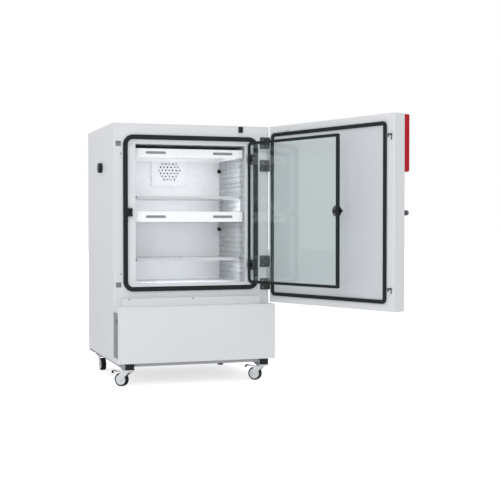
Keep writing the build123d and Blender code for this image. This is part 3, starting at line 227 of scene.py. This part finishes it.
def brushed_steel(name, color, roughness=0.32, stretch=(1.0, 60.0, 60.0)):
    """Bare metal with long brush marks."""
    made = Finish(name, color, roughness, metallic=1.0)
    grain = made.noise(14.0, 5.0, stretch)
    spread = made.spread(grain, "Fac", roughness - 0.08, roughness + 0.12)
    made.link(spread, "Result", made.shader, "Roughness")
    made.color_variation(color, 0.05, 30.0)
    made.bump(grain, "Fac", 0.08, 0.0003, 0.0006)
    return made.material


def clear_glass(name):
    """Slightly green safety glass, which lets lamp light straight through."""
    made = Finish(name, (0.93, 0.975, 0.96), 0.0)
    made.set("Transmission Weight", 1.0)
    made.set("IOR", 1.45)
    made.roughness_variation(0.0, 0.015, 8.0)
    clear = made.add("ShaderNodeBsdfTransparent")
    clear.inputs["Color"].default_value = (0.93, 0.965, 0.95, 1.0)
    path = made.add("ShaderNodeLightPath")
    either = made.add("ShaderNodeMath", operation="MAXIMUM")
    made.link(path, "Is Shadow Ray", either, 0)
    made.link(path, "Is Diffuse Ray", either, 1)
    mix = made.add("ShaderNodeMixShader")
    made.link(either, "Value", mix, 0)
    made.link(made.shader, "BSDF", mix, 1)
    made.link(clear, "BSDF", mix, 2)
    made.link(mix, "Shader", made.output, "Surface")
    return made.material


def lamp_tube(name):
    """White-coated fluorescent tube, switched off."""
    color = (0.86, 0.87, 0.89)
    made = Finish(name, color, 0.18)
    made.color_variation(color, 0.012, 12.0)
    made.roughness_variation(0.14, 0.24, 30.0)
    made.set("Coat Weight", 0.5)
    return made.material


def display(name):
    """Dark glass of the controller's display."""
    color = (0.012, 0.013, 0.016)
    made = Finish(name, color, 0.08)
    made.color_variation(color, 0.10, 6.0)
    made.roughness_variation(0.05, 0.11, 14.0)
    made.set("Coat Weight", 0.6)
    made.set("Coat Roughness", 0.03)
    return made.material


# Finishes by material slot
materials = {
    "white_paint": powder_coat("white_powder_coat", (0.775, 0.785, 0.800)),
    "grey_paint": powder_coat("grey_powder_coat", (0.45, 0.46, 0.48), 0.45),
    "door_liner": powder_coat("door_liner_coat", (0.655, 0.665, 0.70), 0.40),
    "chamber_white": stove_enamel("chamber_enamel", (0.83, 0.85, 0.875)),
    "foam": rubber("rigid_foam", (0.80, 0.72, 0.48), 0.85),
    "black_rubber": rubber("gasket_rubber", (0.016, 0.021, 0.021)),
    "wheel_rubber": rubber("wheel_tread", (0.014, 0.017, 0.018), 0.7),
    "black_plastic": moulded_plastic("black_plastic", (0.009, 0.012, 0.013), gloss=0.2),
    "grey_plastic": moulded_plastic("grey_plastic", (0.105, 0.108, 0.114), 0.5),
    "fascia_grey": moulded_plastic("fascia_plastic", (0.25, 0.256, 0.27), 0.5),
    "red_plastic": moulded_plastic("red_plastic", (0.46, 0.005, 0.010), 0.55, 700.0, 0.10),
    "display_glass": display("display_glass"),
    "clear_glass": clear_glass("door_glass"),
    "lamp_glass": lamp_tube("lamp_tube"),
    "steel": brushed_steel("zinc_plated_steel", (0.80, 0.81, 0.82), 0.38),
    "black_steel": powder_coat("black_enamel", (0.028, 0.029, 0.031), 0.35),
    "aluminium": brushed_steel("fin_aluminium", (0.72, 0.73, 0.75), 0.36, (60.0, 60.0, 1.0)),
}

# Finishes of single nodes and of pieces made here; some of their greys are painted shade
BRIGHT_ENAMEL = stove_enamel("cassette_enamel", (0.90, 0.915, 0.93))
# Mid grey of the side air panels is painted shade: darker than the walls' white, standing in for the shade behind
# their perforations
SIDE_PAINTED_SHADE_ENAMEL = stove_enamel("side_panel_painted_shade", (0.44, 0.465, 0.48))
# Grey of the shelves is painted shade: darker than the walls, standing in for the shade on the shelf lips
SHELF_PAINTED_SHADE_ENAMEL = stove_enamel("shelf_painted_shade", (0.58, 0.60, 0.62))
RECEIVER_PLASTIC = moulded_plastic("receiver_plastic", (0.36, 0.365, 0.37), 0.5)
BLOCK_PLASTIC = moulded_plastic("hinge_block_plastic", (0.030, 0.037, 0.037), 0.45)
PIN_STEEL = brushed_steel("burnished_steel", (0.26, 0.265, 0.27), 0.42)
# Grey inside the grip pockets is painted shade: darker than the cassette's white, standing in for the shade inside
# the pockets
GRIP_PAINTED_SHADE_PLASTIC = moulded_plastic("grip_pocket_painted_shade", (0.40, 0.405, 0.41), 0.5)
HUB_PLASTIC = moulded_plastic("wheel_hub_plastic", (0.84, 0.86, 0.88), 0.45, 900.0)

OWN_FINISH = {
    "upper_light_cassette": BRIGHT_ENAMEL,
    "middle_light_cassette": BRIGHT_ENAMEL,
    "side_air_panels": SIDE_PAINTED_SHADE_ENAMEL,
    "upper_shelf": SHELF_PAINTED_SHADE_ENAMEL,
    "lower_shelf": SHELF_PAINTED_SHADE_ENAMEL,
    "hook_receivers": RECEIVER_PLASTIC,
    "hinge_blocks": BLOCK_PLASTIC,
    "pins_and_screws": PIN_STEEL,
}


def dress_nodes():
    """Give each CAD node the finish of its slot, or its own variant of it."""
    for row in frame["record"]["subparts"]:
        piece = nodes[row["node"]]
        made = OWN_FINISH.get(row["node"], materials[row["material_slot"]])
        for slot in piece.material_slots:
            slot.material = made


# Share of a side that easing may take
EASED_SHARE = 0.45
# Radius below which a ring is a single point
NO_RADIUS = 1e-7
# Distance within which points become one
MERGE_DISTANCE = 1e-6

# Tyre: radii and half widths, and its tread grooves
TYRE_BORE, TYRE_SHOULDER, TYRE_RADIUS = 0.0288, 0.0355, 0.0375
TYRE_HALF_WIDTH, TREAD_HALF_WIDTH = 0.0157, 0.0125
GROOVE_PLACES = (-0.0055, 0.0055)
GROOVE_FLOOR = 0.0367
GROOVE_HALF_TOP, GROOVE_HALF_FLOOR = 0.0012, 0.0007
TYRE_EDGE, TYRE_STEPS = 0.0012, 72

# Hub: radius and half width along its stepped cover, from the axle out
HUB_SIDE = [(0.0042, 0.0157), (0.0090, 0.0157), (0.0096, 0.0142), (0.0150, 0.0138)]
HUB_SIDE += [(0.0160, 0.0146), (0.0255, 0.0146), (0.0265, 0.0155), (0.0290, 0.0155)]
HUB_EDGE, HUB_STEPS = 0.0007, 64

# Pedal tip: reach from the swivel and height over the floor, round its outline
PEDAL_TIP = [(0.0860, 0.0862), (0.0935, 0.0868), (0.0965, 0.0835), (0.0972, 0.0700)]
PEDAL_TIP += [(0.0955, 0.0690), (0.0940, 0.0775), (0.0860, 0.0772)]
PEDAL_TIP_HALF_WIDTH = 0.0142
PEDAL_TIP_ROUND, PEDAL_TIP_EDGE = 0.0025, 0.0012

# Screw head: shares of its radius and height, from the socket's floor to the rim's foot
SCREW_HEAD = [(0.0, 0.35), (0.42, 0.35), (0.46, 0.95), (0.55, 1.0), (0.86, 0.82), (1.0, 0.35)]
SCREW_HEAD += [(1.0, 0.0)]
SCREW_HEIGHT = 0.0016
SCREW_STEPS = 20
SMALL_SCREW, RIM_SCREW, BACK_SCREW = 0.0036, 0.0040, 0.0045
SCREW_INSET = 0.012
CASSETTE_LEFT_INSET, CASSETTE_LEFT_SET_BACK, CASSETTE_RIGHT_INSET = 0.009, 0.003, 0.013
BACK_SCREW_COLUMNS, BACK_SCREW_ROWS = 4, 6

# Grip pockets: half length, half height and depth, and their places on a cassette
POCKET_REACH, POCKET_RISE, POCKET_DEPTH = 0.0600, 0.0085, 0.0125
POCKET_OFFSET, POCKET_BEHIND = 0.2, 0.0046
POCKET_SHEET = 0.001
# Fullness towards the ends, and share of the height that is kept there
POCKET_FULLNESS = 6
POCKET_END_SHARE = 0.25
POCKET_STATIONS, POCKET_TURNS = 24, 8

# Closed outer door: its inner face and edges, and the screws on it
DOOR_INNER, DOOR_LEFT, DOOR_TOP, DOOR_LOW = -0.320, -0.4625, 1.460, 0.445
LOCK_SCREW_INSET, LOCK_SCREW_RISE, LOCK_PLATE_PROUD = 0.036, 0.021, 0.0015
RIM_SCREW_INSET, RIM_SCREW_FROM_END = 0.021, 0.158
TOP_SCREW_INSET, TOP_SCREW_DROP = 0.062, 0.016

joints = {joint["name"]: joint for joint in frame["joints"]}
door_hinge = joints["outer_door_hinge"]
DOOR_PLACE = Vector(door_hinge["pos_m"])
DOOR_TURN = Matrix.Rotation(math.radians(-door_hinge["range_deg"][0]), 3, "Z")


def on_door(x, y, z):
    """Point given on the closed outer door, moved to where the open door has it."""
    return DOOR_PLACE + DOOR_TURN @ (Vector((x, y, z)) - DOOR_PLACE)


def eased(points, radius):
    """Soften each corner of a closed profile with three points."""
    count = len(points)
    made = []
    for index, point in enumerate(points):
        here = Vector(point)
        back = Vector(points[index - 1]) - here
        ahead = Vector(points[(index + 1) % count]) - here
        size = min(radius, back.length * EASED_SHARE, ahead.length * EASED_SHARE)
        start = here + back.normalized() * size
        end = here + ahead.normalized() * size
        made += [start, (start + here * 2.0 + end) / 4.0, end]
    return made


def axes_along(axis):
    """An axis and two directions square to it."""
    axis = Vector(axis).normalized()
    first = axis.orthogonal().normalized()
    return axis, first, axis.cross(first)


def add_lathe(mesh, profile, place, axis, steps, closed):
    """Turn a profile of (radius, height) round an axis into a bmesh."""
    axis, first, second = axes_along(axis)
    rings = []
    for radius, along in profile:
        middle = Vector(place) + axis * along
        if radius < NO_RADIUS:
            rings.append([mesh.verts.new(middle)])
            continue
        ring = []
        for step in range(steps):
            angle = math.tau * step / steps
            offset = first * math.cos(angle) + second * math.sin(angle)
            ring.append(mesh.verts.new(middle + offset * radius))
        rings.append(ring)
    last = len(rings) if closed else len(rings) - 1
    for index in range(last):
        low, high = rings[index], rings[(index + 1) % len(rings)]
        for step in range(steps):
            after = (step + 1) % steps
            corners = [low[step % len(low)], low[after % len(low)]]
            corners += [high[after % len(high)], high[step % len(high)]]
            corners = list(dict.fromkeys(corners))
            if len(corners) > 2:
                mesh.faces.new(corners)


def finished(name, mesh, body, material, smooth_angle=35.0):
    """Turn a bmesh into a piece that rides on a body."""
    bmesh.ops.recalc_face_normals(mesh, faces=mesh.faces)
    data = bpy.data.meshes.new(name)
    mesh.to_mesh(data)
    mesh.free()
    for polygon in data.polygons:
        polygon.use_smooth = True
    data.set_sharp_from_angle(angle=math.radians(smooth_angle))
    piece = bpy.data.objects.new(name, data)
    bpy.context.scene.collection.objects.link(piece)
    data.materials.append(material)
    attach(piece, body)
    return piece


def tyre_profile():
    """Section of the tyre, from its bore round the grooved tread."""
    outer = [(TYRE_BORE, TYRE_HALF_WIDTH), (TYRE_SHOULDER, TYRE_HALF_WIDTH)]
    outer.append((TYRE_RADIUS, TREAD_HALF_WIDTH))
    tread = [(radius, -along) for radius, along in outer]
    for middle in GROOVE_PLACES:
        tread.append((TYRE_RADIUS, middle - GROOVE_HALF_TOP))
        tread.append((GROOVE_FLOOR, middle - GROOVE_HALF_FLOOR))
        tread.append((GROOVE_FLOOR, middle + GROOVE_HALF_FLOOR))
        tread.append((TYRE_RADIUS, middle + GROOVE_HALF_TOP))
    return tread + outer[::-1]


def make_wheels():
    """Tyre with tread grooves, and a pale hub with its stepped cover, for each caster."""
    for corner in ("front_left", "front_right", "rear_left", "rear_right"):
        joint = joints["roll_" + corner]
        place, axis = joint["pos_m"], joint["axis"]
        body = "wheel_" + corner
        mesh = bmesh.new()
        add_lathe(mesh, eased(tyre_profile(), TYRE_EDGE), place, axis, TYRE_STEPS, True)
        tyre = finished("tyre_" + corner, mesh, body, materials["wheel_rubber"])
        profile = [(radius, -along) for radius, along in HUB_SIDE] + HUB_SIDE[::-1]
        mesh = bmesh.new()
        add_lathe(mesh, eased(profile, HUB_EDGE), place, axis, HUB_STEPS, True)
        hub = finished("hub_" + corner, mesh, body, HUB_PLASTIC)
        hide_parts("caster_wheel_" + corner)
        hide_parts("caster_wheel_" + corner)


def make_pedal_tips():
    """Dark plastic tip over the end of each brake pedal."""
    for corner in ("front_left", "front_right"):
        pivot = Vector(joints["swivel_" + corner]["pos_m"])
        wheel = Vector(joints["roll_" + corner]["pos_m"])
        ahead = Vector((wheel.x - pivot.x, wheel.y - pivot.y, 0.0)).normalized()
        across = Vector((-ahead.y, ahead.x, 0.0))
        mesh = bmesh.new()
        sides = []
        for half in (-PEDAL_TIP_HALF_WIDTH, PEDAL_TIP_HALF_WIDTH):
            ring = []
            for reach, level in eased(PEDAL_TIP, PEDAL_TIP_ROUND):
                place = Vector((pivot.x, pivot.y, level)) + ahead * reach + across * half
                ring.append(mesh.verts.new(place))
            sides.append(ring)
        count = len(sides[0])
        for index in range(count):
            after = (index + 1) % count
            mesh.faces.new([sides[0][index], sides[0][after], sides[1][after], sides[1][index]])
        mesh.faces.new(sides[0])
        mesh.faces.new(sides[1][::-1])
        rims = [edge for edge in mesh.edges if len({v in sides[0] for v in edge.verts}) == 1]
        bmesh.ops.bevel(mesh, geom=rims, offset=PEDAL_TIP_EDGE, segments=2, affect="EDGES")
        body = "pedal_" + corner
        finished("pedal_tip_" + corner, mesh, body, materials["black_plastic"])


def screw_set(name, body, places, normal, radius=SMALL_SCREW):
    """Low-domed socket screws, as one piece."""
    mesh = bmesh.new()
    head = [(radius * across, SCREW_HEIGHT * along) for across, along in SCREW_HEAD]
    for place in places:
        add_lathe(mesh, head, place, normal, SCREW_STEPS, False)
    return finished(name, mesh, body, materials["steel"], smooth_angle=50.0)


def make_screws():
    """Screws of the fan cover, the cassettes and the back panel."""
    inset = SCREW_INSET
    low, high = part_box("fan_cover")
    rise = (low.z + inset, high.z - inset)
    places = [Vector((x, low.y, z)) for x in (low.x + inset, high.x - inset) for z in rise]
    screw_set("fan_cover_screws", "cabinet", places, (0, -1, 0))
    for level in ("upper", "middle"):
        low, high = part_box(level + "_light_cassette")
        left, front = low.x + CASSETTE_LEFT_INSET, low.y + CASSETTE_LEFT_SET_BACK
        places = [Vector((left, front, high.z - inset))]
        places.append(Vector((high.x - CASSETTE_RIGHT_INSET, low.y, high.z - inset)))
        screw_set(level + "_cassette_screws", level + "_light_cassette", places, (0, -1, 0))
    low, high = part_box("back_panel")
    wide, tall = high.x - low.x - inset * 2, high.z - low.z - inset * 2
    columns = range(BACK_SCREW_COLUMNS + 1)
    across = [low.x + inset + wide * step / BACK_SCREW_COLUMNS for step in columns]
    places = [Vector((x, high.y, z)) for x in across for z in (low.z + inset, high.z - inset)]
    rise = [low.z + inset + tall * step / BACK_SCREW_ROWS for step in range(1, BACK_SCREW_ROWS)]
    places += [Vector((x, high.y, z)) for x in (across[0], across[-1]) for z in rise]
    screw_set("back_panel_screws", "cabinet", places, (0, 1, 0), BACK_SCREW)


def pocket_row(mesh, middle, along):
    """One section of a grip pocket, from its top round the back to its bottom."""
    x, y, z = middle
    swell = max(1.0 - abs(along) ** POCKET_FULLNESS, 0.0) ** 0.5
    rise = POCKET_RISE * (POCKET_END_SHARE + (1.0 - POCKET_END_SHARE) * swell)
    row = []
    for turn in range(POCKET_TURNS + 1):
        angle = math.pi * turn / POCKET_TURNS
        back = y + POCKET_DEPTH * swell * math.sin(angle)
        up = z + rise * math.cos(angle)
        row.append(mesh.verts.new((x + POCKET_REACH * along, back, up)))
    return row


def make_grip_pockets():
    """Boat-shaped pocket behind each grip slot of the light cassettes, in a grey that is painted shade."""
    half = POCKET_STATIONS / 2
    for level in ("upper", "middle"):
        low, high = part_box(level + "_light_cassette")
        middle = (low + high) / 2
        mesh = bmesh.new()
        for side in (-1, 1):
            place = (middle.x + side * POCKET_OFFSET, low.y + POCKET_BEHIND, middle.z)
            stations = [-1.0 + step / half for step in range(POCKET_STATIONS + 1)]
            rows = [pocket_row(mesh, place, along) for along in stations]
            for near, far in zip(rows, rows[1:]):
                for index in range(POCKET_TURNS):
                    mesh.faces.new([near[index], near[index + 1], far[index + 1], far[index]])
        bmesh.ops.remove_doubles(mesh, verts=mesh.verts, dist=MERGE_DISTANCE)
        bmesh.ops.dissolve_degenerate(mesh, edges=mesh.edges, dist=MERGE_DISTANCE)
        body = level + "_light_cassette"
        pocket = finished(level + "_grip_pockets", mesh, body, GRIP_PAINTED_SHADE_PLASTIC)
        wall = pocket.modifiers.new("wall", "SOLIDIFY")
        wall.thickness = POCKET_SHEET
        wall.offset = 1.0


def make_door_screws():
    """Screws of the lock plate and of the outer door's rim, on its inner face."""
    normal = DOOR_TURN @ Vector((0.0, 1.0, 0.0))
    middle = (DOOR_TOP + DOOR_LOW) / 2
    left, proud = DOOR_LEFT + LOCK_SCREW_INSET, DOOR_INNER + LOCK_PLATE_PROUD
    lock = [on_door(left, proud, middle + side * LOCK_SCREW_RISE) for side in (-1, 1)]
    screw_set("lock_plate_screws", "outer_door", lock, normal)
    left = DOOR_LEFT + RIM_SCREW_INSET
    rim = [on_door(left, DOOR_INNER, DOOR_TOP - RIM_SCREW_FROM_END)]
    rim.append(on_door(left, DOOR_INNER, DOOR_LOW + RIM_SCREW_FROM_END))
    rim.append(on_door(DOOR_LEFT + TOP_SCREW_INSET, DOOR_INNER, DOOR_TOP - TOP_SCREW_DROP))
    screw_set("door_rim_screws", "outer_door", rim, normal, RIM_SCREW)


# Floor: its colour, the glow that only the camera sees, and half its side
FLOOR_WHITE = (0.93, 0.93, 0.93)
FLOOR_GLOW = 0.62
FLOOR_HALF = 30.0

# World: light that falls on the diffuse surfaces
FILL_COLOR = (0.97, 0.98, 1.0, 1.0)
FILL_STRENGTH = 0.67

# Chamber lamps: watts of the one in front, share of the rear panel's size that it has,
# places behind the front frame and the lower shelf's edge, and gap to the shelves
CHAMBER_POWER = 0.3
LIT_SHARE = 0.95
LAMP_BEHIND_FRAME = 0.0145
LAMP_BEHIND_SHELF = 0.03
LAMP_CLEARANCE = 0.01
# Watts for each square metre, from the chamber's lowest space to its highest
SPACE_STRENGTHS = (10.2, 4.6, 26.0, 7.2)


def floor_material():
    """White floor that keeps the shadow and looks white to the camera where it is lit."""
    made = Finish("floor_white", FLOOR_WHITE, 0.9)
    made.color_variation(FLOOR_WHITE, 0.004, 0.6)
    made.set("Specular IOR Level", 0.1)
    path = made.add("ShaderNodeLightPath")
    lift = made.add("ShaderNodeMath", operation="MULTIPLY")
    made.link(path, "Is Camera Ray", lift, 0)
    lift.inputs[1].default_value = FLOOR_GLOW
    made.set("Emission Color", (1.0, 1.0, 1.0, 1.0))
    made.link(lift, "Value", made.shader, "Emission Strength")
    return made.material


def make_floor():
    """Plain pale floor."""
    half = FLOOR_HALF
    mesh = bpy.data.meshes.new("floor")
    corners = [(-half, -half, 0), (half, -half, 0), (half, half, 0), (-half, half, 0)]
    mesh.from_pydata(corners, [], [(0, 1, 2, 3)])
    floor = bpy.data.objects.new("floor", mesh)
    bpy.context.scene.collection.objects.link(floor)
    floor.data.materials.append(floor_material())


def make_world():
    """Even studio light, with white for what the camera, metal and glass see."""
    world = bpy.data.worlds.new("studio")
    bpy.context.scene.world = world
    world.use_nodes = True
    tree = world.node_tree
    tree.nodes.clear()
    output = tree.nodes.new("ShaderNodeOutputWorld")
    fill = tree.nodes.new("ShaderNodeBackground")
    fill.inputs["Color"].default_value = FILL_COLOR
    fill.inputs["Strength"].default_value = FILL_STRENGTH
    white = tree.nodes.new("ShaderNodeBackground")
    white.inputs["Color"].default_value = (1.0, 1.0, 1.0, 1.0)
    white.inputs["Strength"].default_value = 1.0
    path = tree.nodes.new("ShaderNodeLightPath")
    seen = tree.nodes.new("ShaderNodeMath")
    seen.operation = "MAXIMUM"
    both = tree.nodes.new("ShaderNodeMath")
    both.operation = "MAXIMUM"
    tree.links.new(path.outputs["Is Camera Ray"], seen.inputs[0])
    tree.links.new(path.outputs["Is Glossy Ray"], seen.inputs[1])
    tree.links.new(seen.outputs[0], both.inputs[0])
    tree.links.new(path.outputs["Is Transmission Ray"], both.inputs[1])
    mix = tree.nodes.new("ShaderNodeMixShader")
    tree.links.new(both.outputs[0], mix.inputs[0])
    tree.links.new(fill.outputs[0], mix.inputs[1])
    tree.links.new(white.outputs[0], mix.inputs[2])
    tree.links.new(mix.outputs[0], output.inputs["Surface"])


def area_light(name, place, target, size, power, tall=None):
    """Soft lamp aimed at a point, square unless its height is given."""
    data = bpy.data.lights.new(name, "AREA")
    data.shape = "RECTANGLE"
    data.size = size
    data.size_y = tall or size
    data.energy = power
    lamp = bpy.data.objects.new(name, data)
    bpy.context.scene.collection.objects.link(lamp)
    lamp.location = place
    direction = Vector(target) - Vector(place)
    lamp.rotation_mode = "QUATERNION"
    lamp.rotation_quaternion = direction.to_track_quat("-Z", "Y")
    return lamp


def hide_lamp(lamp):
    """Keep a lamp itself out of the picture and out of reflections."""
    lamp.visible_camera = False
    lamp.visible_glossy = False
    lamp.visible_transmission = False


def make_chamber_lights():
    """Soft light into the open chamber, and into each space between its shelves."""
    low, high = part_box("rear_air_panel")
    middle = (low + high) / 2
    wide, tall = (high.x - low.x) * LIT_SHARE, (high.z - low.z) * LIT_SHARE
    place = (middle.x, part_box("front_frame")[0].y + LAMP_BEHIND_FRAME, middle.z)
    target = (middle.x, 0.0, middle.z)
    hide_lamp(area_light("chamber_light", place, target, wide, CHAMBER_POWER, tall))
    levels = [low.z]
    for node in ("lower_shelf", "middle_light_cassette", "upper_shelf", "upper_light_cassette"):
        levels += [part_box(node)[0].z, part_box(node)[1].z]
    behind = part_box("lower_shelf")[0].y + LAMP_BEHIND_SHELF
    for index, strength in enumerate(SPACE_STRENGTHS):
        bottom = levels[index * 2] + LAMP_CLEARANCE
        top = levels[index * 2 + 1] - LAMP_CLEARANCE
        place = (middle.x, behind, (bottom + top) / 2)
        target = (middle.x, 0.0, place[2])
        power = strength * wide * (top - bottom)
        hide_lamp(area_light("space_light_%d" % index, place, target, wide, power, top - bottom))


def make_lights():
    """Large front light from the left, and a weak top light."""
    area_light("key_light", (-3.4, -5.6, 3.0), (0.1, -0.2, 0.8), size=3.2, power=85.0)
    area_light("top_light", (0.3, -1.0, 4.2), (0.1, 0.0, 0.8), size=3.0, power=28.0)


bpy.context.scene.view_settings.view_transform = "Standard"
make_camera()
dress_nodes()
make_wheels()
make_pedal_tips()
make_screws()
make_grip_pockets()
make_door_screws()
make_floor()
make_world()
make_lights()
make_chamber_lights()
